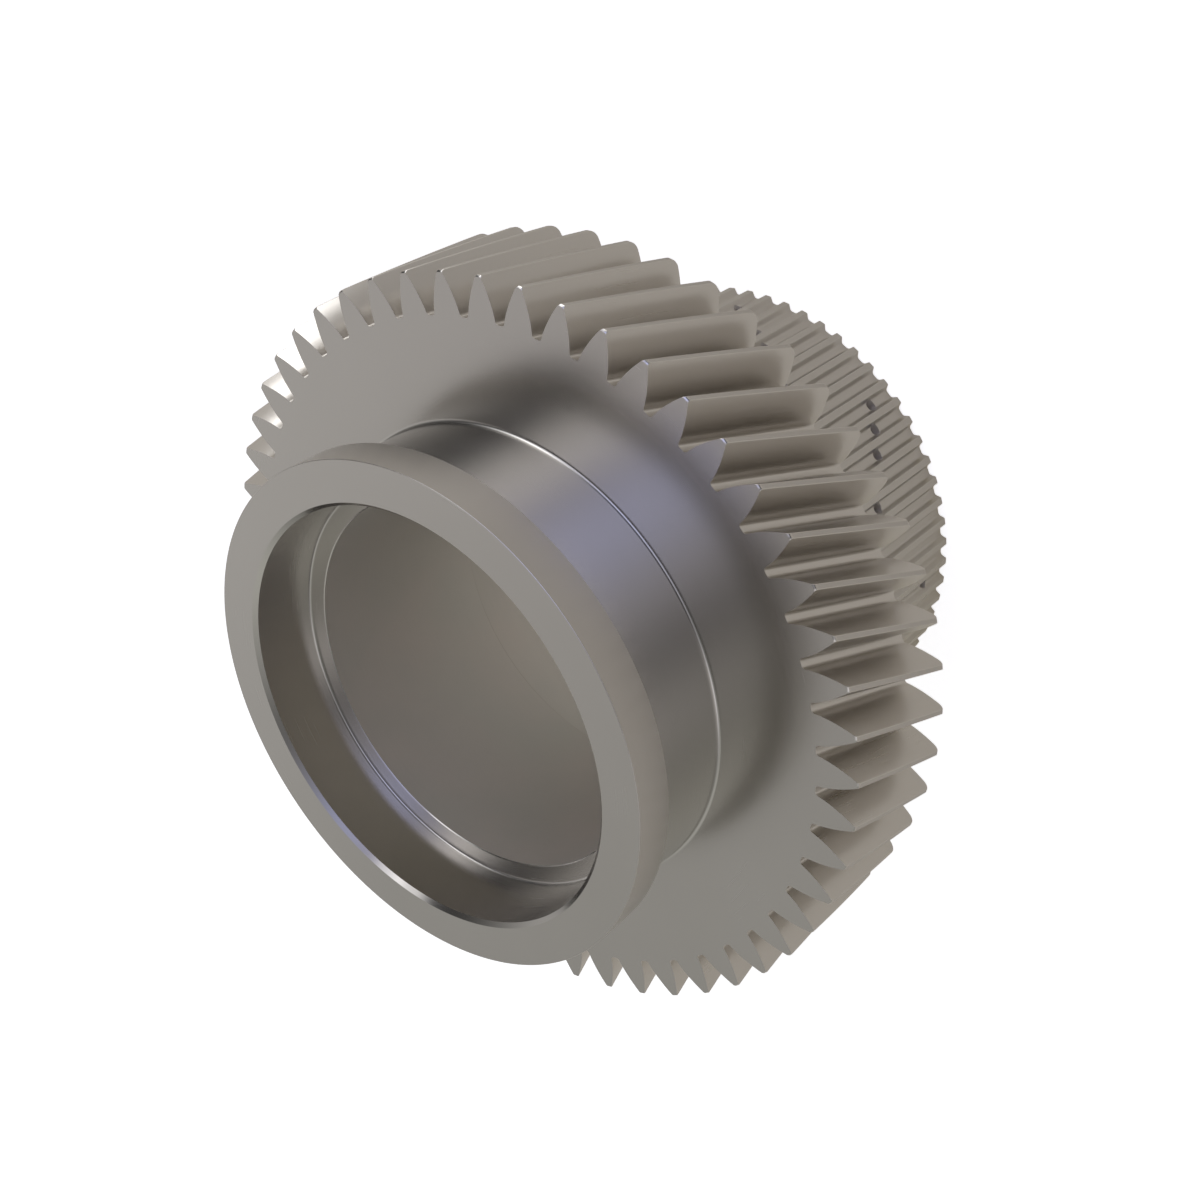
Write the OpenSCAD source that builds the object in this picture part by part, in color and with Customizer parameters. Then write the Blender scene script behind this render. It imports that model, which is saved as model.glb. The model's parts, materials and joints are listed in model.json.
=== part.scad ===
// Transmission gear, turned and cut from one steel blank: a helical gear with tall slender teeth,
// a bearing hub above it and a splined clutch hub with rows of oil holes below it.
// The axis is Z. The splined end stands on z = 0 and the bearing hub is on top.

/* [Helical gear] */
// Number of helical teeth
gear_teeth = 52; // [46:1:58]
// Normal module of the helical teeth
gear_module = 2.33; // [2.1:0.01:2.6]
// Helix angle on the reference circle, right hand
helix_angle = 18.3; // [0:0.1:30]
// Pressure angle in the plane of rotation
gear_pressure_angle = 20.2; // [18:0.1:22]
// Tooth thickness on the reference circle, as a share of the pitch
tooth_share = 0.52; // [0.48:0.01:0.54]
// Height of a tooth above the reference circle, in modules
gear_addendum = 1.585; // [1.2:0.005:1.65]
// Depth of a gap below the reference circle, in modules
gear_dedendum = 1.55; // [1.3:0.01:1.7]
// Fillet at the bottom of a gap, in modules
gear_root_fillet = 0.25; // [0.1:0.01:0.35]
// Face width of the helical gear
gear_w = 26.6; // [18:0.1:40]
// Bevel of the tooth tips at the hub side
tip_bevel = 0.5; // [0.2:0.1:1.2]
// Rounding of the tooth tips at the spline side
tip_round = 1.1; // [0.5:0.1:3]

/* [Bearing hub] */
// Diameter of the neck between the gear and the collar
neck_d = 84.8; // [80:0.2:89]
// Length of the neck
neck_l = 17.2; // [10:0.1:30]
// Fillet where the neck meets the gear
neck_fillet = 0.8; // [0.2:0.1:1.5]
// Diameter of the collar at the end of the hub
collar_d = 90.6; // [86:0.2:100]
// Length of the collar
collar_l = 7.1; // [4:0.1:15]
// Diameter of the bearing seat in the hub
seat_d = 75; // [71:0.1:80]
// Depth of the bearing seat below the hub's face
seat_l = 12.8; // [8:0.1:18]
// Fillet in the corner of the bearing seat
seat_fillet = 0.5; // [0.2:0.1:1]
// Chamfer at the mouth of the bearing seat
mouth_chamfer = 0.7; // [0.3:0.1:1.5]

/* [Bore] */
// Diameter of the main bore
bore_d = 68; // [64:0.1:70]
// Radial relief of the bore behind its ground length
bore_relief = 0.5; // [0.1:0.1:1]
// Ground length of the main bore, from the floor of the bearing seat
bore_ground_l = 37.4; // [20:0.1:50]
// Small chamfer where the bore meets the floor of the seat
ledge_chamfer = 0.3; // [0.1:0.1:0.8]
// Chamfer at the mouth of the bore in the splined end
rear_chamfer = 0.8; // [0.3:0.1:1.5]

/* [Splined clutch hub] */
// Number of spline teeth
spline_teeth = 68; // [66:1:74]
// Module of the spline
spline_module = 1.27; // [1.23:0.01:1.36]
// Height of a spline tooth above its reference circle, in modules
spline_addendum = 0.33; // [0.2:0.01:0.5]
// Depth of a spline gap below its reference circle, in modules
spline_dedendum = 0.57; // [0.45:0.01:0.7]
// Thickness of a spline tooth on its reference circle, as a share of the pitch
spline_tooth_share = 0.41; // [0.36:0.01:0.46]
// Flank angle of the spline teeth
spline_flank_angle = 25; // [20:1:32]
// Fillet at the bottom of a spline gap, in modules
spline_root_fillet = 0.5; // [0.2:0.05:0.55]
// Length from the splined end to the helical gear
spline_side_l = 44.6; // [40:0.1:60]
// Width of the runout groove between the spline and the gear
runout_w = 3.4; // [1.5:0.1:6]
// Depth of the runout groove below the spline gaps
runout_depth = 0.5; // [0.2:0.1:1]
// Turn of a spline tooth from a helical tooth's centre on the hub-side face
spline_turn = 2.3; // [0:0.1:5]

/* [Oil holes] */
// Diameter of an oil hole
oil_hole_d = 2.2; // [1:0.1:2.6]
// Number of slanting rows of oil holes round the spline
oil_rows = 8; // [4:1:8]
// Number of oil holes in a row, one to a gap
oil_row_holes = 8; // [1:1:8]
// Height of the lowest hole of each row above the splined end
oil_first_z = 6.3; // [3:0.1:10]
// Rise from one hole to the next
oil_step_z = 2.92; // [2:0.01:3.5]
// Gap that holds the lowest hole of the first row
oil_first_gap = -3; // [-8:1:8]

/* [Hidden] */
steel = [0.58, 0.56, 0.53];
// Facets of the true round surfaces
$fn = 96;
// How far a cutter or an inner core reaches past the face it crosses
past = 1;
// How far the neck's fillet is sunk, so that it crosses the gear's face
fillet_sink = 0.02;

gear_pitch = 360/gear_teeth;
gear_ref_r = gear_teeth*gear_module/(2*cos(helix_angle));
gear_base_r = gear_ref_r*cos(gear_pressure_angle);
gear_tip_r = gear_ref_r + gear_addendum*gear_module;
gear_root_r = gear_ref_r - gear_dedendum*gear_module;
gear_fillet_r = gear_root_fillet*gear_module;
// Twist of the teeth for each millimetre along the axis, in degrees
twist_per_mm = tan(helix_angle)/gear_ref_r*180/PI;

spline_pitch = 360/spline_teeth;
spline_ref_r = spline_teeth*spline_module/2;
spline_tip_r = spline_ref_r + spline_addendum*spline_module;
spline_root_r = spline_ref_r - spline_dedendum*spline_module;
spline_l = spline_side_l - runout_w;
runout_r = spline_root_r - runout_depth;

gear_top = spline_side_l + gear_w;
collar_z = gear_top + neck_l;
total_l = collar_z + collar_l;
seat_z = total_l - seat_l;
relief_z = seat_z - bore_ground_l;
bore_r = bore_d/2;
relief_r = bore_r + bore_relief;
// The toothed ring starts inside the wall of the hub, so its inner edge is buried
ring_inner_r = (relief_r + min(neck_d/2, runout_r))/2;

// Involute function of an angle, in degrees
function inv(a) = tan(a)*180/PI - a;

// Half the angle that a helical tooth takes up at radius r
function tooth_half(r) =
    tooth_share*gear_pitch/2 + inv(gear_pressure_angle) - inv(acos(min(1, gear_base_r/r)));

// A point at radius r and angle a, at height z
function polar(r, a, z) = [r*cos(a), r*sin(a), z];

// Straight steps along a tooth's root fillet and along its involute flank
fillet_steps = 2;
flank_steps = 3;

// One side of a helical tooth as [radius, half angle], from the gap's floor to the tip
fillet_centre_r = gear_root_r + gear_fillet_r;
fillet_centre_a = tooth_half(fillet_centre_r) + asin(gear_fillet_r/fillet_centre_r);
function fillet_point(t) =
    let (r = fillet_centre_r - gear_fillet_r*sin(t))
    [r, fillet_centre_a - gear_fillet_r*cos(t)/r*180/PI];
function flank_point(s, tip_r) =
    let (r = fillet_centre_r + (tip_r - fillet_centre_r)*s)
    [r, tooth_half(r)];
function tooth_side(tip_r) = concat(
    [for (i = [0:fillet_steps - 1]) fillet_point(90 - 90*i/fillet_steps)],
    [for (i = [0:flank_steps]) flank_point(i/flank_steps, tip_r)]);

side_n = fillet_steps + flank_steps + 1;
tooth_n = 2*side_n;
ring_n = gear_teeth*tooth_n;

// The whole toothed outline at height h of the face, with the teeth ending at tip_r
function toothed_ring(h, tip_r) =
    let (side = tooth_side(tip_r), turn = (h - gear_w)*twist_per_mm)
    [for (k = [0:gear_teeth - 1], j = [0:tooth_n - 1])
        let (rising = j < side_n, p = side[rising ? j : tooth_n - 1 - j])
        polar(p[0], k*gear_pitch + turn + (rising ? -p[1] : p[1]), h)];

// Stations along the face as [height, tip radius]: rounded below, bevelled on top
stations = concat(
    [for (a = [0, 45, 90]) [tip_round*(1 - cos(a)), gear_tip_r - tip_round*(1 - sin(a))]],
    [[gear_w/2, gear_tip_r],
     [gear_w - tip_bevel, gear_tip_r],
     [gear_w, gear_tip_r - tip_bevel]]);

// The helical teeth on a ring whose inner edge lies inside the hub's wall
module helical_ring() {
    last = len(stations) - 1;
    outer = [for (s = stations) each toothed_ring(s[0], s[1])];
    inner = [for (h = [0, gear_w], k = [0:gear_teeth - 1])
        polar(ring_inner_r, (k - 0.5)*gear_pitch + (h - gear_w)*twist_per_mm, h)];
    outer_n = len(outer);
    function at(s, i) = s*ring_n + i % ring_n;
    function in(s, k) = outer_n + s*gear_teeth + k % gear_teeth;
    walls = [for (s = [0:last - 1], i = [0:ring_n - 1]) each [
        [at(s, i), at(s + 1, i), at(s + 1, i + 1)],
        [at(s, i), at(s + 1, i + 1), at(s, i + 1)]]];
    floor_face = [for (k = [0:gear_teeth - 1]) concat(
        [for (j = [0:tooth_n]) at(0, k*tooth_n + j)], [in(0, k + 1), in(0, k)])];
    top_face = [for (k = [0:gear_teeth - 1]) concat(
        [for (j = [tooth_n:-1:0]) at(last, k*tooth_n + j)], [in(1, k), in(1, k + 1)])];
    inner_wall = [for (k = [0:gear_teeth - 1]) each [
        [in(0, k), in(0, k + 1), in(1, k + 1)],
        [in(0, k), in(1, k + 1), in(1, k)]]];
    translate([0, 0, spline_side_l])
        polyhedron(concat(outer, inner), concat(walls, floor_face, top_face, inner_wall));
}

// Half the width of a spline tooth at radius r
function spline_half_w(r) =
    spline_tooth_share*PI*spline_module/2 + (spline_ref_r - r)*tan(spline_flank_angle);

// One side of a spline tooth as [radius, half width], from the gap's floor to the tip
function spline_side() =
    let (fillet_r = spline_root_fillet*spline_module,
         centre_w = spline_half_w(spline_root_r + fillet_r) + fillet_r/cos(spline_flank_angle))
    concat(
        [for (i = [0:fillet_steps])
            let (t = 90 - (90 - spline_flank_angle)*i/fillet_steps)
            [spline_root_r + fillet_r*(1 - sin(t)), centre_w - fillet_r*cos(t)]],
        [[spline_tip_r, spline_half_w(spline_tip_r)]]);

// Spline teeth with straight flanks and a fillet on each side of the gaps
module spline_outline() {
    side = spline_side();
    last = len(side) - 1;
    polygon([for (k = [0:spline_teeth - 1], s = [-1, 1], j = [0:last])
        let (p = side[s < 0 ? j : last - j],
             a = spline_turn + k*spline_pitch + s*p[1]/p[0]*180/PI)
        p[0]*[cos(a), sin(a)]]);
}

// Neck, collar and the core that joins them to the gear and the spline
module hub_core() {
    neck_r = neck_d/2;
    foot_r = neck_r + neck_fillet;
    fillet = [for (a = [0:15:90])
        [foot_r - neck_fillet*cos(a), gear_top - fillet_sink + neck_fillet*(1 - sin(a))]];
    rotate_extrude() polygon(concat(
        [[0, spline_l/2],
         [runout_r, spline_l/2],
         [runout_r, spline_side_l + gear_w/2],
         [foot_r, spline_side_l + gear_w/2]],
        [for (i = [len(fillet) - 1:-1:0]) fillet[i]],
        [[neck_r, collar_z],
         [collar_d/2, collar_z],
         [collar_d/2, total_l],
         [0, total_l]]));
}

// The stepped bore: bearing seat, ground bore and relieved rear length
module stepped_bore() {
    seat_r = seat_d/2;
    corner = [for (a = [0:30:90])
        [seat_r - seat_fillet*(1 - cos(a)), seat_z + seat_fillet*(1 - sin(a))]];
    rotate_extrude() polygon(concat(
        [[0, -past],
         [relief_r + rear_chamfer + past, -past],
         [relief_r, rear_chamfer],
         [relief_r, relief_z - bore_relief],
         [bore_r, relief_z],
         [bore_r, seat_z - ledge_chamfer],
         [bore_r + ledge_chamfer, seat_z]],
        [for (i = [len(corner) - 1:-1:0]) corner[i]],
        [[seat_r, total_l - mouth_chamfer],
         [seat_r + mouth_chamfer + past, total_l + past],
         [0, total_l + past]]));
}

// Radial oil holes from the spline gaps into the bore, in slanting rows
module oil_holes() {
    for (row = [0:oil_rows - 1], i = [0:oil_row_holes - 1]) {
        gap = oil_first_gap + ceil(-row*spline_teeth/oil_rows) - i;
        rotate([0, 0, spline_turn + (gap + 0.5)*spline_pitch])
            translate([bore_r - past, 0, oil_first_z + i*oil_step_z])
                rotate([0, 90, 0])
                    cylinder(d = oil_hole_d, h = spline_tip_r - bore_r + 2*past, $fn = 24);
    }
}

// The finished part in bare steel
module gear() {
    color(steel) union() {
        helical_ring();
        difference() {
            union() {
                hub_core();
                linear_extrude(height = spline_l) spline_outline();
            }
            stepped_bore();
            oil_holes();
        }
    }
}

gear();
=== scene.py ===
# %% [markdown]
# # A helical transmission gear in satin steel
#
# This lesson dresses one machined part: a helical gear with tall slender teeth, a collared bearing
# hub in front of it and a long splined clutch hub behind it. The real gear is turned and cut from
# one blank, so the finished thing here is one closed mesh too.
#
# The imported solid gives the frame: its box and its mounts say where the bore, the seat and the
# collar are. Everything is in metres, +Z runs along the bore, and the splined end stands on z = 0.

# %% Load the frame
import json
import math
import bmesh
import bpy
from mathutils import Matrix, Vector


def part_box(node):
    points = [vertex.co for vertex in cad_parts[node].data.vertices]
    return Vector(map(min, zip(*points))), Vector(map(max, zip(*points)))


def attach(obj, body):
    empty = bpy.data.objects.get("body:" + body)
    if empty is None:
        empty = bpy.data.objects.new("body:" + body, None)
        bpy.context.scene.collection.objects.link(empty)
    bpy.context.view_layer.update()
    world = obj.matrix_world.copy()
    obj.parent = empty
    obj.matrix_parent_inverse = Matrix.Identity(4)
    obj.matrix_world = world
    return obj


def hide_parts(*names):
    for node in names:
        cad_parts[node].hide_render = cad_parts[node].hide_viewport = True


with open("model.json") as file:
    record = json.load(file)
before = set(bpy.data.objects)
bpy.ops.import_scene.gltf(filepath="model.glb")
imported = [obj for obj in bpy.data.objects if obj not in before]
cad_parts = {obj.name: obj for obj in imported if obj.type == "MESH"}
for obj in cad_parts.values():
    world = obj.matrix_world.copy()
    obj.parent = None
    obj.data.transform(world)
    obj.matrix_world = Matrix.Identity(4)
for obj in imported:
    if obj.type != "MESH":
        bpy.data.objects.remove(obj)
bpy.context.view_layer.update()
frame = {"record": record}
low_corner, high_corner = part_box("gear")
mounts = {mount["name"]: mount for mount in frame["record"]["mounts"]}


def mount_radius(name):
    """Radius of a round mount, in metres."""
    return mounts[name]["dims"]["r_mm"] / 1000


print("gear box in mm:", [round(1000 * (b - a), 2) for a, b in zip(low_corner, high_corner)])

# %% [markdown]
# ## Sizes
#
# A gear is described by a few numbers that its maker would put on the drawing: the number of
# teeth, the module (reference diameter over teeth), the helix and pressure angles, and how far the
# teeth stand above and below the reference circle. All other points follow from them.

# %% Sizes of the helical gear
gear_teeth = 52
normal_module = 0.00233
helix_angle = math.radians(18.3)
pressure_angle = math.radians(20.2)
tooth_share = 0.52
tip_modules = 1.585
root_modules = 1.55
root_fillet_modules = 0.25
face_high = 0.0712
face_low = 0.0446
gear_pitch = math.tau / gear_teeth
reference_r = gear_teeth * normal_module / (2 * math.cos(helix_angle))
base_r = reference_r * math.cos(pressure_angle)
tip_r = reference_r + tip_modules * normal_module
root_r = reference_r - root_modules * normal_module
root_fillet_r = root_fillet_modules * normal_module
twist_per_metre = math.tan(helix_angle) / reference_r
tip_bevel = 0.00033
tip_bevel_r = 0.0006
tip_round = 0.0011
print("helical gear:", gear_teeth, "teeth, tip radius in mm", round(1000 * tip_r, 2))

# %% Sizes of the spline and the oil holes
spline_teeth = 68
spline_module = 0.00127
spline_flank_angle = math.radians(25)
spline_tooth_share = 0.41
spline_tip_modules = 0.33
spline_root_modules = 0.57
spline_fillet_modules = 0.5
spline_length = 0.0412
groove_depth = 0.0005
spline_pitch = math.tau / spline_teeth
spline_turn = math.radians(2.3)
spline_reference_r = spline_teeth * spline_module / 2
spline_tip_r = spline_reference_r + spline_tip_modules * spline_module
spline_root_r = spline_reference_r - spline_root_modules * spline_module
spline_fillet_r = spline_fillet_modules * spline_module
groove_r = spline_root_r - groove_depth

oil_hole_r = 0.0011
oil_rows = 8
oil_row_holes = 8
oil_first_z = 0.0063
oil_step_z = 0.00292
oil_first_gap = -3
print("spline:", spline_teeth, "teeth, tip radius in mm", round(1000 * spline_tip_r, 2))

# %% Sizes of the hub and the bore
hub_top = high_corner[2]
collar_low = 0.0884
seat_floor = 0.0827
neck_r = 0.0424
collar_r = mount_radius("collar")
seat_r = mount_radius("bearing_seat")
bore_r = mount_radius("main_bore")
relief_r = mount_radius("rear_bore")
relief_z = 0.0453
print("hub top at z in mm", round(1000 * hub_top, 2), "and bore radius", round(1000 * bore_r, 2))

# %% [markdown]
# ## The outline of one tooth
#
# The flank of a gear tooth is an involute: the path of the end of a string that is unwound from
# the base circle. At a radius r the tooth is thinner than on the reference circle by the
# difference of the involute function there. Half a tooth is enough, as [radius, angle] pairs from
# the middle of the gap to the middle of the tooth, because the other half is its mirror image.

# %% Half outlines
edge_break = 0.00008
fillet_steps = 4
spline_fillet_steps = 4
flank_steps = 7


def involute(angle):
    """The involute function, in radians."""
    return math.tan(angle) - angle


def tooth_half(r):
    """Half the angle that a helical tooth takes up at radius r."""
    here = math.acos(min(1, base_r / r))
    return tooth_share * gear_pitch / 2 + involute(pressure_angle) - involute(here)


def gear_half_outline(tip):
    """Half a helical tooth that ends at radius tip."""
    centre_r = root_r + root_fillet_r
    centre_a = tooth_half(centre_r) + math.asin(root_fillet_r / centre_r)
    points = [(root_r, gear_pitch / 2)]
    for step in range(fillet_steps):
        turn = math.pi / 2 * (1 - step / fillet_steps)
        r = centre_r - root_fillet_r * math.sin(turn)
        points.append((r, centre_a - root_fillet_r * math.cos(turn) / r))
    for step in range(flank_steps + 1):
        r = centre_r + (tip - edge_break - centre_r) * step / flank_steps
        points.append((r, tooth_half(r)))
    return points + [(tip, tooth_half(tip) - edge_break / tip), (tip, 0)]


def spline_half_width(r):
    """Half the width of a spline tooth at radius r."""
    flank = (spline_reference_r - r) * math.tan(spline_flank_angle)
    return spline_tooth_share * math.pi * spline_module / 2 + flank


def spline_half_outline():
    """Half a spline tooth with a straight flank and a fillet at its foot."""
    centre_r = spline_root_r + spline_fillet_r
    centre_w = spline_half_width(centre_r) + spline_fillet_r / math.cos(spline_flank_angle)
    points = [(spline_root_r, spline_pitch / 2)]
    for step in range(spline_fillet_steps + 1):
        turn = math.pi / 2 + (spline_flank_angle - math.pi / 2) * step / spline_fillet_steps
        r = centre_r - spline_fillet_r * math.sin(turn)
        points.append((r, (centre_w - spline_fillet_r * math.cos(turn)) / r))
    edge = spline_tip_r - edge_break
    return points + [(edge, spline_half_width(edge) / edge),
                     (spline_tip_r, (spline_half_width(spline_tip_r) - edge_break) / spline_tip_r),
                     (spline_tip_r, 0)]


def whole_outline(half_outline):
    """Both halves of a tooth, by rising angle."""
    return [(r, -a) for r, a in half_outline] + [(r, a) for r, a in half_outline[-2::-1]]


print("points in one helical tooth:", len(whole_outline(gear_half_outline(tip_r))))

# %% [markdown]
# ## Steel
#
# Satin steel is a metal with a soft, fairly rough sheen. Turning leaves fine rings that run round
# the axis, and hobbing and shaving leave faint lines along the teeth. Both are narrow waves, so
# each finish stretches a noise pattern along its own direction and feeds it to a light bump and
# to the roughness. The pattern reads Object coordinates, which don't move with the camera.
#
# The finishes differ in tint, roughness and marks. Ground faces, such as the outside of the collar
# and the tooth lands, are even, and their darker tint is painted shade. The cut flanks have a lighter
# tint, which is painted light in the shaded tooth gaps. Small edges are almost bright. The bore and
# the oil holes are dull. The bore's greenish and brownish tints are painted reflections, and the
# holes' light tint is painted light.

# %% Material helpers
mark_scale_round = 60
mark_detail = 2.0
cloud_scale = 45.0
cloud_detail = 3.0
smoother = 0.03
rougher = 0.09
steel_tints = ((0.56, 0.54, 0.51), (0.60, 0.58, 0.55))
# Painted light: the cut flanks get a lighter tint than the plain steel, to brighten the shaded tooth
# gaps.
cut_tints_with_painted_light = ((0.60, 0.575, 0.54), (0.64, 0.615, 0.58))
# Painted shade: the ground collar and tooth lands get a darker tint than the plain steel.
ground_tints_with_painted_shade = ((0.50, 0.475, 0.445), (0.54, 0.52, 0.49))
# Painted reflections: the bore's tints run from greenish grey to light brown in soft blotches.
bored_tints_with_painted_reflections = ((0.54, 0.55, 0.51), (0.68, 0.62, 0.575))
# Painted light: the oil holes get a much lighter tint than the steel, to lift their shaded walls.
drill_tints_with_painted_light = ((0.76, 0.73, 0.69), (0.80, 0.77, 0.73))


def link(tree, source, target):
    """One link between two sockets."""
    tree.links.new(source, target)


def value_math(tree, operation, first, second=None):
    """A Math node whose inputs are sockets or numbers. Returns its output."""
    node = tree.nodes.new("ShaderNodeMath")
    node.operation = operation
    for socket, value in zip(node.inputs, (first, second)):
        if value is None:
            continue
        if isinstance(value, (int, float)):
            socket.default_value = value
        else:
            link(tree, value, socket)
    return node.outputs[0]


def noise(tree, place, scale, detail):
    """A noise pattern on a vector socket. Returns its factor."""
    node = tree.nodes.new("ShaderNodeTexNoise")
    link(tree, place, node.inputs["Vector"])
    node.inputs["Scale"].default_value = scale
    node.inputs["Detail"].default_value = detail
    return node.outputs["Fac"]


def mapped(tree, factor, low, high):
    """A factor from 0 to 1 moved to the range from low to high."""
    node = tree.nodes.new("ShaderNodeMapRange")
    link(tree, factor, node.inputs["Value"])
    node.inputs["To Min"].default_value = low
    node.inputs["To Max"].default_value = high
    return node.outputs["Result"]


def steel(name, tints, roughness, mark_pitch, mark_depth, along_axis):
    """Satin steel between two tints, with fine marks.

    With along_axis the marks also change along z, as turned rings do.
    """
    material = bpy.data.materials.new(name)
    material.use_nodes = True
    tree = material.node_tree
    shader = tree.nodes["Principled BSDF"]
    shader.inputs["Metallic"].default_value = 1.0
    place = tree.nodes.new("ShaderNodeTexCoord").outputs["Object"]
    parts = tree.nodes.new("ShaderNodeSeparateXYZ")
    link(tree, place, parts.inputs[0])
    x, y, z = parts.outputs
    radius = value_math(tree, "SQRT", value_math(tree, "ADD", value_math(tree, "MULTIPLY", x, x),
                                                 value_math(tree, "MULTIPLY", y, y)))
    across = value_math(tree, "ADD", radius, z) if along_axis else radius
    stretched = tree.nodes.new("ShaderNodeCombineXYZ")
    link(tree, value_math(tree, "DIVIDE", across, mark_pitch), stretched.inputs[0])
    link(tree, value_math(tree, "MULTIPLY", x, mark_scale_round), stretched.inputs[1])
    link(tree, value_math(tree, "MULTIPLY", y, mark_scale_round), stretched.inputs[2])
    marks = noise(tree, stretched.outputs[0], 1.0, mark_detail)
    bump = tree.nodes.new("ShaderNodeBump")
    bump.inputs["Strength"].default_value = 1.0
    bump.inputs["Distance"].default_value = mark_depth
    link(tree, marks, bump.inputs["Height"])
    link(tree, bump.outputs[0], shader.inputs["Normal"])
    cloud = noise(tree, place, cloud_scale, cloud_detail)
    worn = value_math(tree, "MULTIPLY", marks, cloud)
    worn_roughness = mapped(tree, worn, roughness - smoother, roughness + rougher)
    link(tree, worn_roughness, shader.inputs["Roughness"])
    tint = tree.nodes.new("ShaderNodeMix")
    tint.data_type = "RGBA"
    link(tree, cloud, tint.inputs["Factor"])
    tint.inputs["A"].default_value = (*tints[0], 1)
    tint.inputs["B"].default_value = (*tints[1], 1)
    link(tree, tint.outputs["Result"], shader.inputs["Base Color"])
    print("material", name)
    return material


# %% The seven finishes
# Each has its tints, its roughness, the pitch and depth of its marks in metres, and whether the
# marks change along z too. The tints of the cut, ground, bored and drilled steel carry painted light,
# shade and reflections.
finish_cut, finish_splined, finish_turned, finish_edge = range(4)
finish_drilled, finish_bored, finish_ground = range(4, 7)
cut_steel_with_painted_light = steel("cut_steel_with_painted_light", cut_tints_with_painted_light, 0.29, 0.00022, 0.0000002, False)
splined_steel = steel("splined_steel", steel_tints, 0.29, 0.00022, 0.0000002, False)
turned_steel = steel("turned_steel", steel_tints, 0.25, 0.00016, 0.0000002, True)
edge_steel = steel("edge_steel", steel_tints, 0.14, 0.00030, 0.0000002, True)
drilled_steel_with_painted_light = steel("drilled_steel_with_painted_light", drill_tints_with_painted_light, 0.80, 0.00030, 0.0000010, False)
bored_steel_with_painted_reflections = steel("bored_steel_with_painted_reflections", bored_tints_with_painted_reflections, 0.64, 0.00016, 0.0000002, True)
ground_steel_with_painted_shade = steel("ground_steel_with_painted_shade", ground_tints_with_painted_shade, 0.33, 0.00012, 0.0000001, True)
finishes = [
    cut_steel_with_painted_light, splined_steel, turned_steel, edge_steel,
    drilled_steel_with_painted_light, bored_steel_with_painted_reflections, ground_steel_with_painted_shade]


def with_finishes(data):
    """The mesh with a slot for each finish, in the order of their numbers."""
    for finish_material in finishes:
        data.materials.append(finish_material)
    return data


# %% [markdown]
# ## One pitch of the blank
#
# The gear repeats itself once per tooth, so it is enough to make one wedge of it: a tooth with
# the strip of face, neck, collar and bore that lies inside it. The strip's rows hold as many
# columns as it takes for 52 wedges of the gear and 68 wedges of the spline to meet with equal
# rings of points. 884 is the least number that both divide.
#
# Each row is a list of points at one station, and rows of equal length are joined by quads. Where
# a toothed row meets a round one in a flat face, one flat polygon takes up the difference.

# %% Wedge helpers
ring_points = math.lcm(gear_teeth, spline_teeth)


class Wedge:
    """One pitch of the part, as a mesh in the making."""

    def __init__(self, pitch):
        self.pitch = pitch
        self.columns = round(ring_points * pitch / math.tau)
        self.mesh = bmesh.new()
        self.finish = self.mesh.faces.layers.int.new("finish")

    def row(self, outline, z):
        """A row of points from [radius, angle] pairs."""
        return [self.mesh.verts.new((r * math.cos(a), r * math.sin(a), z)) for r, a in outline]

    def ring(self, r, z):
        """A row of points on a circle."""
        steps = [(i / self.columns - 0.5) * self.pitch for i in range(self.columns + 1)]
        return self.row([(r, a) for a in steps], z)

    def face(self, points, finish):
        """One polygon with its finish."""
        self.mesh.faces.new(points)[self.finish] = finish

    def strip(self, lower, upper, finish, middle_finish=None):
        """Quads between two rows with as many points.

        The two in the middle, the land of a tooth, can have their own finish.
        """
        middle = (len(lower) // 2 - 1, len(lower) // 2)
        for i, points in enumerate(zip(lower, lower[1:], upper[1:], upper)):
            own = middle_finish is not None and i in middle
            self.face(points, middle_finish if own else finish)

    def flat(self, outline_row, ring_row, finish):
        """One flat polygon between a toothed row and a round one."""
        self.face(outline_row + ring_row[::-1], finish)

    def revolve(self, ring_row, profile):
        """Strips along [radius, z, finish] triples, from a first ring on."""
        for r, z, finish in profile:
            following = self.ring(r, z)
            self.strip(ring_row, following, finish)
            ring_row = following

    def finished(self, name):
        """The wedge as an object."""
        data = with_finishes(bpy.data.meshes.new(name))
        self.mesh.to_mesh(data)
        self.mesh.free()
        made = bpy.data.objects.new(name, data)
        bpy.context.collection.objects.link(made)
        print(name, "has", len(data.polygons), "faces")
        return made


def arc(centre_r, centre_z, radius, start, end, steps):
    """[radius, z, finish] triples along a turned arc, angles in degrees from +r towards +z."""
    triples = []
    for i in range(steps + 1):
        turn = math.radians(start + (end - start) * i / steps)
        r = centre_r + radius * math.cos(turn)
        triples.append((r, centre_z + radius * math.sin(turn), finish_turned))
    return triples


print("points in each ring:", ring_points)

# %% [markdown]
# ## The wedge of the helical gear
#
# The tips are rounded off towards the spline side and get a small bevel on the hub side, as the
# real ones do, so the tip radius changes along the face. The profile of the hub then runs from
# the gear's face up the neck, round the collar, over the mouth of the bearing seat, and down the
# bore. A short support ring beside each fillet keeps the shading of the flat faces flat.

# %% The helical wedge
face_margin = 0.0012
face_inner_r = root_r - face_margin
bore_seam_z = 0.0440
bore_band = 0.0125
groove_seam_z = 0.0427
neck_fillet = 0.00060
seat_fillet = 0.0005
mouth_chamfer = 0.0007
ledge_chamfer = 0.00015
collar_edge = 0.00006
back_fillet = 0.0004
support = 0.00006
face_steps = 9
tip_round_steps = 5
bevel_steps = 3
neck_fillet_steps = 6
seat_fillet_steps = 5
back_fillet_steps = 4
turned, edge, bored, ground = finish_turned, finish_edge, finish_bored, finish_ground


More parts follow.
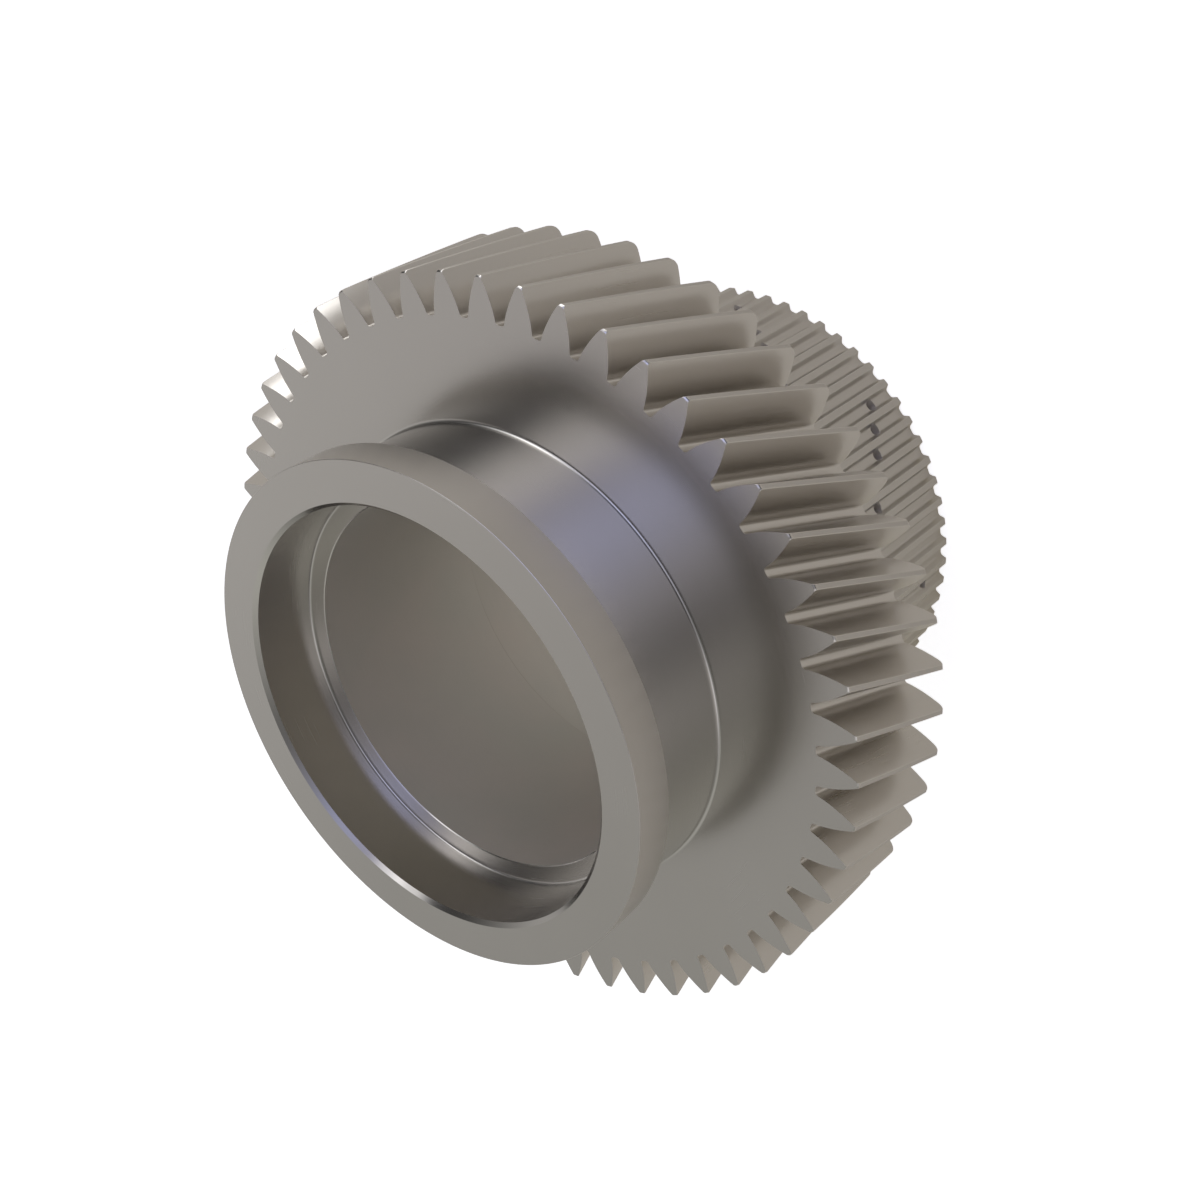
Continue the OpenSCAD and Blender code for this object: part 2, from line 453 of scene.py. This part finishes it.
def tip_stations():
    """[z, tip radius] pairs along the face, from the spline side to the hub side."""
    stations = []
    for step in range(tip_round_steps + 1):
        turn = math.pi / 2 * step / tip_round_steps
        drop = tip_round * (1 - math.sin(turn))
        stations.append((face_low + tip_round * (1 - math.cos(turn)), tip_r - drop))
    bevel_end = math.asin(1 - tip_bevel / tip_bevel_r)
    bevel_z = face_high - tip_bevel_r * math.cos(bevel_end)
    first = face_low + tip_round
    for step in range(1, face_steps):
        stations.append((first + (bevel_z - first) * step / face_steps, tip_r))
    for step in range(bevel_steps + 1):
        turn = math.pi / 2 + (bevel_end - math.pi / 2) * step / bevel_steps
        drop = tip_bevel_r * (1 - math.sin(turn))
        stations.append((bevel_z + tip_bevel_r * math.cos(turn), tip_r - drop))
    return stations


gear_wedge = Wedge(gear_pitch)
rows = [gear_wedge.row(whole_outline(gear_half_outline(tip)), z) for z, tip in tip_stations()]
# The flanks get the cut finish, whose lighter tint is painted light. The lands get the ground finish,
# whose darker tint is painted shade.
for i, (lower, upper) in enumerate(zip(rows, rows[1:])):
    on_bevel = i >= len(rows) - 1 - bevel_steps
    gear_wedge.strip(lower, upper, finish_cut, finish_edge if on_bevel else finish_ground)

front_ring = gear_wedge.ring(face_inner_r, face_high)
gear_wedge.flat(rows[-1], front_ring, turned)
foot_r = neck_r + neck_fillet
hub_profile = [(foot_r + support, face_high, turned)]
hub_profile += arc(foot_r, face_high + neck_fillet, neck_fillet, 270, 180, neck_fillet_steps)
hub_profile += [
    (neck_r, face_high + neck_fillet + support, turned),
    (neck_r, collar_low - support, turned),
    (neck_r, collar_low, turned),
    (collar_r - collar_edge, collar_low, turned),
    (collar_r, collar_low + collar_edge, turned),
    # The outside of the collar gets the ground finish, whose darker tint is painted shade.
    (collar_r, hub_top - collar_edge, ground),
    (collar_r - collar_edge, hub_top, turned),
    (seat_r + mouth_chamfer, hub_top, turned),
    (seat_r, hub_top - mouth_chamfer, edge),
    (seat_r, seat_floor + seat_fillet + support, turned)]
hub_profile += arc(
    seat_r - seat_fillet, seat_floor + seat_fillet, seat_fillet, 0, -90, seat_fillet_steps)
hub_profile += [
    (seat_r - seat_fillet - support, seat_floor, turned),
    (bore_r + ledge_chamfer, seat_floor, turned),
    (bore_r, seat_floor - ledge_chamfer, edge),
    # The bore gets the bored finish, whose tints are painted reflections.
    (bore_r, relief_z, bored),
    (relief_r, relief_z - (relief_r - bore_r), edge),
    (relief_r, bore_seam_z, bored)]
gear_wedge.revolve(front_ring, hub_profile)

back_ring = gear_wedge.ring(face_inner_r, face_low)
gear_wedge.flat(rows[0], back_ring, turned)
back_profile = [(groove_r + back_fillet + support, face_low, turned)]
back_profile += arc(
    groove_r + back_fillet, face_low - back_fillet, back_fillet, 90, 180, back_fillet_steps)
back_profile += [(groove_r, groove_seam_z, turned)]
gear_wedge.revolve(back_ring, back_profile)
gear_piece = gear_wedge.finished("helical_wedge")

# %% [markdown]
# ## The wedge of the spline
#
# A spline tooth is straight along the axis, so two rows are enough: one at the end that the gear
# stands on and one where the cutter runs out into the groove.

# %% The spline wedge
end_margin = 0.0004
end_inner_r = spline_root_r - end_margin
rear_chamfer = 0.0008

spline_wedge = Wedge(spline_pitch)
outline = whole_outline(spline_half_outline())
end_row = spline_wedge.row(outline, 0)
top_row = spline_wedge.row(outline, spline_length)
spline_wedge.strip(end_row, top_row, finish_splined)
groove_ring = spline_wedge.ring(groove_r, spline_length)
spline_wedge.flat(top_row, groove_ring, turned)
end_ring = spline_wedge.ring(end_inner_r, 0)
spline_wedge.flat(end_row, end_ring, turned)
spline_wedge.revolve(end_ring, [
    (relief_r + rear_chamfer, 0, turned),
    (relief_r, rear_chamfer, edge),
    (relief_r, bore_seam_z - bore_band, bored)])
spline_piece = spline_wedge.finished("spline_wedge")

# %% [markdown]
# ## A ring of wedges
#
# Geometry Nodes do what an indexing head does on the hobbing machine: they set one wedge after
# the other round the axis, weld the seams, and twist what lies within the face of the gear. The
# same tree makes the spline, with another count and no twist. Its turn sets the phase.

# %% Node tree for a ring of wedges
weld_distance = 0.000004


def new_tree(name, inputs):
    """A Geometry Nodes tree with named inputs. Returns it with its input and output nodes."""
    tree = bpy.data.node_groups.new(name, "GeometryNodeTree")
    tree.interface.new_socket(name="Geometry", in_out="INPUT", socket_type="NodeSocketGeometry")
    for label, kind in inputs:
        tree.interface.new_socket(name=label, in_out="INPUT", socket_type="NodeSocket" + kind)
    tree.interface.new_socket(name="Geometry", in_out="OUTPUT", socket_type="NodeSocketGeometry")
    return tree, tree.nodes.new("NodeGroupInput"), tree.nodes.new("NodeGroupOutput")


def set_finishes(tree, geometry, materials):
    """Set Material nodes that follow the number that each face carries as its finish."""
    number = tree.nodes.new("GeometryNodeInputNamedAttribute")
    number.data_type = "INT"
    number.inputs["Name"].default_value = "finish"
    for index, material in enumerate(materials):
        same = tree.nodes.new("FunctionNodeCompare")
        same.data_type = "INT"
        same.operation = "EQUAL"
        link(tree, number.outputs["Attribute"], same.inputs[2])
        same.inputs[3].default_value = index
        paint = tree.nodes.new("GeometryNodeSetMaterial")
        link(tree, geometry, paint.inputs["Geometry"])
        link(tree, same.outputs["Result"], paint.inputs["Selection"])
        paint.inputs["Material"].default_value = material
        geometry = paint.outputs["Geometry"]
    return geometry


def ring_tree():
    """Wedges round the axis, welded, twisted between two heights and turned."""
    tree, inside, outside = new_tree("ring_of_wedges", [
        ("Count", "Int"), ("Twist", "Float"), ("Twist from", "Float"),
        ("Twist to", "Float"), ("Turn", "Float")])
    wedge, count, twist, twist_from, twist_to, turn = inside.outputs[:6]
    points = tree.nodes.new("GeometryNodePoints")
    link(tree, count, points.inputs["Count"])
    step = value_math(tree, "DIVIDE", math.tau, count)
    angle = value_math(tree, "MULTIPLY", tree.nodes.new("GeometryNodeInputIndex").outputs[0], step)
    heading = tree.nodes.new("ShaderNodeCombineXYZ")
    link(tree, angle, heading.inputs["Z"])
    copies = tree.nodes.new("GeometryNodeInstanceOnPoints")
    link(tree, points.outputs[0], copies.inputs["Points"])
    link(tree, wedge, copies.inputs["Instance"])
    link(tree, heading.outputs[0], copies.inputs["Rotation"])
    real = tree.nodes.new("GeometryNodeRealizeInstances")
    link(tree, copies.outputs[0], real.inputs["Geometry"])
    weld = tree.nodes.new("GeometryNodeMergeByDistance")
    link(tree, real.outputs[0], weld.inputs["Geometry"])
    weld.inputs["Distance"].default_value = weld_distance
    place = tree.nodes.new("GeometryNodeInputPosition").outputs[0]
    parts = tree.nodes.new("ShaderNodeSeparateXYZ")
    link(tree, place, parts.inputs[0])
    held = tree.nodes.new("ShaderNodeClamp")
    for socket, value in zip(held.inputs, (parts.outputs["Z"], twist_from, twist_to)):
        link(tree, value, socket)
    rise = value_math(tree, "SUBTRACT", held.outputs[0], twist_to)
    spin = value_math(tree, "ADD", value_math(tree, "MULTIPLY", rise, twist), turn)
    turned_place = tree.nodes.new("ShaderNodeVectorRotate")
    turned_place.rotation_type = "Z_AXIS"
    link(tree, place, turned_place.inputs["Vector"])
    link(tree, spin, turned_place.inputs["Angle"])
    moved = tree.nodes.new("GeometryNodeSetPosition")
    link(tree, weld.outputs[0], moved.inputs["Geometry"])
    link(tree, turned_place.outputs[0], moved.inputs["Position"])
    link(tree, set_finishes(tree, moved.outputs[0], finishes), outside.inputs[0])
    return tree


def run_tree(piece, tree, values):
    """The plain mesh that a tree makes of a piece. The piece and its modifier are removed."""
    modifier = piece.modifiers.new(tree.name, "NODES")
    modifier.node_group = tree
    for item in tree.interface.items_tree:
        if item.in_out == "INPUT" and item.name in values:
            modifier[item.identifier] = values[item.name]
    evaluated = piece.evaluated_get(bpy.context.evaluated_depsgraph_get())
    data = bpy.data.meshes.new_from_object(evaluated)
    piece.modifiers.clear()
    bpy.data.objects.remove(piece)
    print(tree.name, "made", len(data.polygons), "faces")
    return data


# %% Both toothed rings
wedge_ring = ring_tree()
gear_ring = run_tree(gear_piece, wedge_ring, {
    "Count": gear_teeth, "Twist": twist_per_metre,
    "Twist from": face_low, "Twist to": face_high, "Turn": 0.0})
spline_ring = run_tree(spline_piece, wedge_ring, {
    "Count": spline_teeth, "Twist": 0.0, "Twist from": 0.0, "Twist to": 1.0, "Turn": spline_turn})

# %% [markdown]
# ## One closed blank
#
# The two rings end in open loops: one in the runout groove and one in the bore. The loops hold
# equally many points, so a band of quads closes each gap and the part is one closed skin.

# %% Join the rings
def open_loops(mesh):
    """The points of each open loop by rising angle, sorted by radius and then by height."""
    groups = {}
    for vert in mesh.verts:
        if vert.is_boundary:
            key = (round(math.hypot(vert.co.x, vert.co.y), 4), round(vert.co.z, 4))
            groups.setdefault(key, []).append(vert)
    return [sorted(groups[key], key=lambda v: math.atan2(v.co.y, v.co.x)) for key in sorted(groups)]


def bridge(mesh, first, second, finish):
    """Quads between two loops with as many points, each point to the nearest in angle."""
    layer = mesh.faces.layers.int["finish"]
    count = len(first)
    start = first[0].co.xy.normalized()
    shift = max(range(count), key=lambda i: start.dot(second[i].co.xy.normalized()))
    for i in range(count):
        j = i + shift
        lower = (first[i], first[(i + 1) % count])
        upper = (second[(j + 1) % count], second[j % count])
        face = mesh.faces.new(lower + upper)
        face[layer] = finish
        face.material_index = finish


blank = bmesh.new()
blank.from_mesh(gear_ring)
blank.from_mesh(spline_ring)
loops = open_loops(blank)
print("open loops:", [len(loop) for loop in loops])
bridge(blank, loops[0], loops[1], finish_bored)
bridge(blank, loops[2], loops[3], finish_turned)
bmesh.ops.recalc_face_normals(blank, faces=blank.faces)
print("open edges left:", sum(not e.is_manifold for e in blank.edges))

# %% [markdown]
# ## Oil holes
#
# Oil leaves the bore through small radial holes in the gaps of the spline. They lie in slanting
# rows: each next hole is one gap on and a little higher. A second tree sets out the drills, and
# one boolean cut drills them all.

# %% Node tree for the drills
drill_sides = 20


def drill_tree():
    """Radial drills in slanting rows. The place of each one is worked out from its index."""
    tree, inside, outside = new_tree("oil_drills", [
        ("Rows", "Int"), ("Holes", "Int"), ("Gaps", "Int"), ("First gap", "Float"),
        ("First height", "Float"), ("Rise", "Float"), ("Radius", "Float"),
        ("Middle", "Float"), ("Length", "Float"), ("Turn", "Float")])
    sockets = {socket.name: socket for socket in inside.outputs}
    index = tree.nodes.new("GeometryNodeInputIndex").outputs[0]
    row = value_math(tree, "FLOOR", value_math(tree, "DIVIDE", index, sockets["Holes"]))
    place = value_math(tree, "MODULO", index, sockets["Holes"])
    share = value_math(tree, "DIVIDE", sockets["Gaps"], sockets["Rows"])
    row_start = value_math(tree, "MULTIPLY", row, share)
    row_gap = value_math(tree, "CEIL", value_math(tree, "MULTIPLY", row_start, -1))
    gap = value_math(tree, "SUBTRACT", value_math(tree, "ADD", sockets["First gap"], row_gap), place)
    pitch = value_math(tree, "DIVIDE", math.tau, sockets["Gaps"])
    angle = value_math(tree, "MULTIPLY", value_math(tree, "ADD", gap, 0.5), pitch)
    angle = value_math(tree, "ADD", angle, sockets["Turn"])
    height = value_math(tree, "MULTIPLY", place, sockets["Rise"])
    height = value_math(tree, "ADD", height, sockets["First height"])
    spot = tree.nodes.new("ShaderNodeCombineXYZ")
    for operation, target in zip(("COSINE", "SINE"), spot.inputs):
        part = value_math(tree, operation, angle)
        link(tree, value_math(tree, "MULTIPLY", sockets["Middle"], part), target)
    link(tree, height, spot.inputs[2])
    points = tree.nodes.new("GeometryNodePoints")
    link(tree, value_math(tree, "MULTIPLY", sockets["Rows"], sockets["Holes"]), points.inputs["Count"])
    link(tree, spot.outputs[0], points.inputs["Position"])
    drill = tree.nodes.new("GeometryNodeMeshCylinder")
    drill.inputs["Vertices"].default_value = drill_sides
    link(tree, sockets["Radius"], drill.inputs["Radius"])
    link(tree, sockets["Length"], drill.inputs["Depth"])
    heading = tree.nodes.new("ShaderNodeCombineXYZ")
    heading.inputs["Y"].default_value = math.pi / 2
    link(tree, angle, heading.inputs["Z"])
    copies = tree.nodes.new("GeometryNodeInstanceOnPoints")
    link(tree, points.outputs[0], copies.inputs["Points"])
    link(tree, drill.outputs["Mesh"], copies.inputs["Instance"])
    link(tree, heading.outputs[0], copies.inputs["Rotation"])
    real = tree.nodes.new("GeometryNodeRealizeInstances")
    link(tree, copies.outputs[0], real.inputs["Geometry"])
    paint = tree.nodes.new("GeometryNodeSetMaterial")
    link(tree, real.outputs[0], paint.inputs["Geometry"])
    # The drills carry the drilled steel into the holes. Its light tint is painted light.
    paint.inputs["Material"].default_value = drilled_steel_with_painted_light
    link(tree, paint.outputs[0], outside.inputs[0])
    return tree


# %% Drill the blank
drill_reach = 0.0008


def new_object(name, data):
    """A new object in the scene's collection."""
    made = bpy.data.objects.new(name, data)
    bpy.context.collection.objects.link(made)
    return made


drill_length = spline_tip_r - relief_r + 2 * drill_reach
drill_seed = new_object("drill_seed", with_finishes(bpy.data.meshes.new("drill_seed")))
drills = new_object("drills", run_tree(drill_seed, drill_tree(), {
    "Rows": oil_rows, "Holes": oil_row_holes, "Gaps": spline_teeth, "First gap": float(oil_first_gap),
    "First height": oil_first_z, "Rise": oil_step_z, "Radius": oil_hole_r,
    "Middle": (spline_tip_r + relief_r) / 2, "Length": drill_length, "Turn": spline_turn}))

blank_data = with_finishes(bpy.data.meshes.new("machined_gear"))
blank.to_mesh(blank_data)
blank.free()
gear = new_object("machined_gear", blank_data)
cut = gear.modifiers.new("oil_holes", "BOOLEAN")
cut.operation = "DIFFERENCE"
cut.solver = "EXACT"
cut.object = drills
drilled = bpy.data.meshes.new_from_object(gear.evaluated_get(bpy.context.evaluated_depsgraph_get()))
gear.modifiers.clear()
gear.data = drilled
bpy.data.objects.remove(drills)
triangles = sum(len(polygon.vertices) - 2 for polygon in drilled.polygons)
print("drilled gear:", len(drilled.polygons), "faces,", triangles, "triangles")

# %% [markdown]
# ## Shading
#
# Machined edges stay crisp: an edge between two faces that meet at more than 28 degrees is sharp,
# and the rest, such as flanks and fillets, is smooth.

# %% Smooth and sharp
sharp_angle = math.radians(28)
drilled.shade_smooth()
drilled.set_sharp_from_angle(angle=sharp_angle)
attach(gear, "root")
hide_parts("gear")

# %% [markdown]
# ## Camera
#
# The camera was fitted to the photograph: its place, and the directions that point right and up
# in the picture, in the gear's own frame. The picture is rolled, so the hub points to its lower
# left.

# %% The camera
camera_place = Vector((0.1264, -0.1883, 0.2508))
picture_right = Vector((-0.1511, -0.7702, -0.6197)).normalized()
picture_up = Vector((0.8972, 0.1563, -0.4130))
towards_camera = picture_right.cross(picture_up).normalized()
picture_up = towards_camera.cross(picture_right)

camera_data = bpy.data.cameras.new("camera")
camera_data.lens = 50.885
camera_data.sensor_width = 36
camera_data.clip_start = 0.01
camera = bpy.data.objects.new("camera", camera_data)
bpy.context.collection.objects.link(camera)
turn = Matrix((picture_right, picture_up, towards_camera)).transposed()
camera.matrix_world = Matrix.Translation(camera_place) @ turn.to_4x4()
bpy.context.scene.camera = camera
print("camera at", [round(c, 4) for c in camera_place])

# %% [markdown]
# ## Floor
#
# The floor is a plain pale plane. Its diffuse part keeps the soft shadow of the gear. A glow that
# only camera and transmission rays see lifts it to white. In the satin steel the real floor shows
# as a dim warm grey, so glossy rays get a small share of the glow.

# %% The floor
floor_white = 0.75
floor_in_steel = (0.155, 0.128, 0.066)
floor_grey = 0.86
floor_size = 6.0
floor_drop = 0.0002


def floor_material():
    """A dull pale surface with a glow of its own for each kind of ray."""
    material = bpy.data.materials.new("pale_floor")
    material.use_nodes = True
    tree = material.node_tree
    diffuse = tree.nodes["Principled BSDF"]
    diffuse.inputs["Base Color"].default_value = (floor_grey, floor_grey, floor_grey, 1)
    diffuse.inputs["Roughness"].default_value = 0.9
    diffuse.inputs["Specular IOR Level"].default_value = 0.0
    rays = tree.nodes.new("ShaderNodeLightPath")
    seen = value_math(tree, "ADD", rays.outputs["Is Camera Ray"], rays.outputs["Is Transmission Ray"])
    shader = diffuse.outputs[0]
    for colour, strength in (((1, 1, 1), value_math(tree, "MULTIPLY", seen, floor_white)),
                             (floor_in_steel, rays.outputs["Is Glossy Ray"])):
        glow = tree.nodes.new("ShaderNodeEmission")
        glow.inputs["Color"].default_value = (*colour, 1)
        link(tree, strength, glow.inputs["Strength"])
        both = tree.nodes.new("ShaderNodeAddShader")
        link(tree, shader, both.inputs[0])
        link(tree, glow.outputs[0], both.inputs[1])
        shader = both.outputs[0]
    link(tree, shader, tree.nodes["Material Output"].inputs["Surface"])
    return material


def make_floor():
    """The plane just below the gear."""
    mesh = bmesh.new()
    bmesh.ops.create_grid(mesh, x_segments=1, y_segments=1, size=floor_size / 2)
    data = bpy.data.meshes.new("floor")
    mesh.to_mesh(data)
    mesh.free()
    data.materials.append(floor_material())
    floor = new_object("floor", data)
    floor.location.z = -floor_drop


make_floor()

# %% [markdown]
# ## Soft lights
#
# Polished and satin metal shows little colour of its own: it shows the room. So the studio is
# painted into the world as a few large soft lights, with a row of three small ones that make the
# white glints on chamfers and fillets. Each one is a round patch of the sky that fades out from its
# middle: the farther a direction points away from it, the smaller the dot product of the two, and
# an exponential turns that into brightness. A light has an azimuth and an elevation in degrees, the
# sharpness of its edge, and a colour.
#
# The settings were first found by a program that matched the photograph. The back wall, the foot of
# the softbox, the right wall, the left softbox, the left window and the ceiling still have nearly
# the numbers it gave. The others were changed or added.
#
# The camera itself sees plain white there, and the steel sees only the lights.

# %% The studio
studio_lights = {
    "back wall": (180, 31, 3.2, (0.55, 0.55, 0.52)),
    "cool window": (-30, 40, 17, (0.83, 0.89, 1.34)),
    "top of the tall softbox": (0, 43, 24, (0.30, 0.28, 0.30)),
    "first small lamp": (5, 48, 320, (1.20, 1.20, 1.22)),
    "second small lamp": (17, 48, 320, (1.35, 1.35, 1.38)),
    "third small lamp": (29, 46, 320, (1.10, 1.10, 1.12)),
    "middle of the tall softbox": (14, 23, 40, (1.80, 1.80, 1.84)),
    "foot of the tall softbox": (12, 3, 24, (2.40, 2.45, 2.54)),
    "right wall": (98, 22, 9, (0.62, 0.61, 0.60)),
    "left softbox": (-114, 19, 18, (0.98, 0.96, 1.00)),
    "left window": (-65, 39, 22, (0.53, 0.52, 0.56)),
    "ceiling": (106, 64, 22, (0.37, 0.33, 0.36))}


def sky_light(tree, ray, azimuth, elevation, sharpness, colour):
    """Colour of one soft light along the ray's direction."""
    azimuth, elevation = math.radians(azimuth), math.radians(elevation)
    closeness = tree.nodes.new("ShaderNodeVectorMath")
    closeness.operation = "DOT_PRODUCT"
    link(tree, ray, closeness.inputs[0])
    closeness.inputs[1].default_value = (math.cos(elevation) * math.cos(azimuth),
                                         math.cos(elevation) * math.sin(azimuth), math.sin(elevation))
    away = value_math(tree, "SUBTRACT", closeness.outputs["Value"], 1)
    brightness = value_math(tree, "EXPONENT", value_math(tree, "MULTIPLY", away, sharpness))
    light = tree.nodes.new("ShaderNodeVectorMath")
    light.operation = "SCALE"
    light.inputs[0].default_value = colour
    link(tree, brightness, light.inputs["Scale"])
    return light.outputs[0]


def studio_world():
    """The sum of the soft lights for the steel, and white for the camera."""
    world = bpy.data.worlds.new("studio")
    bpy.context.scene.world = world
    world.use_nodes = True
    tree = world.node_tree
    ray = tree.nodes.new("ShaderNodeTexCoord").outputs["Generated"]
    total = None
    for name, settings in studio_lights.items():
        light = sky_light(tree, ray, *settings)
        if total is not None:
            added = tree.nodes.new("ShaderNodeVectorMath")
            link(tree, total, added.inputs[0])
            link(tree, light, added.inputs[1])
            light = added.outputs[0]
        total = light
        print("light:", name)
    lights = tree.nodes["Background"]
    link(tree, total, lights.inputs["Color"])
    white = tree.nodes.new("ShaderNodeBackground")
    white.inputs["Color"].default_value = (1, 1, 1, 1)
    chosen = tree.nodes.new("ShaderNodeMixShader")
    link(tree, tree.nodes.new("ShaderNodeLightPath").outputs["Is Camera Ray"], chosen.inputs[0])
    link(tree, lights.outputs[0], chosen.inputs[1])
    link(tree, white.outputs[0], chosen.inputs[2])
    link(tree, chosen.outputs[0], tree.nodes["World Output"].inputs["Surface"])


studio_world()

# %% [markdown]
# ## Two lamps
#
# A long strip light stands on the floor behind the teeth, close to the gear. It draws the white
# lines along fillets and edges, and it lights the flanks of the teeth on the left.
#
# The gear stands on its open end, so the floor would keep the bore dark. A weak lamp the size of
# the bore lies there and shines up, as light that comes in from below.

# %% The strip light and the lamp in the bore
def area_lamp(name, shape, width, height, brightness, colour):
    """An area lamp that the camera doesn't see, of equal brightness whatever its size."""
    data = bpy.data.lights.new(name, "AREA")
    data.shape = shape
    data.size = width
    data.size_y = height
    data.energy = math.pi * width * height * brightness
    data.color = colour
    lamp = new_object(name, data)
    lamp.visible_camera = False
    return lamp


strip_azimuth = math.radians(10)
strip_away = 0.34
strip_width = 0.20
strip_top = 0.06
strip_brightness = 3.2
strip_colour = (0.97, 0.98, 1.0)
strip = area_lamp("strip_light", "RECTANGLE", strip_width, strip_top, strip_brightness, strip_colour)
strip.location = (strip_away * math.cos(strip_azimuth),
                  strip_away * math.sin(strip_azimuth), strip_top / 2)
strip.rotation_euler = (math.pi / 2, 0, strip_azimuth + math.pi / 2)
# The floor keeps its even light: only the steel shows the strip.
strip.visible_diffuse = False

bore_lamp_gap = 0.001
bore_lamp_width = 2 * (bore_r - bore_lamp_gap)
bore_brightness = 0.39
bore_colour = (0.92, 0.94, 1.0)
bore_glow = area_lamp(
    "bore_lamp", "DISK", bore_lamp_width, bore_lamp_width, bore_brightness, bore_colour)
bore_glow.location.z = bore_lamp_gap
bore_glow.rotation_euler.x = math.pi
bpy.context.scene.view_settings.view_transform = "Standard"
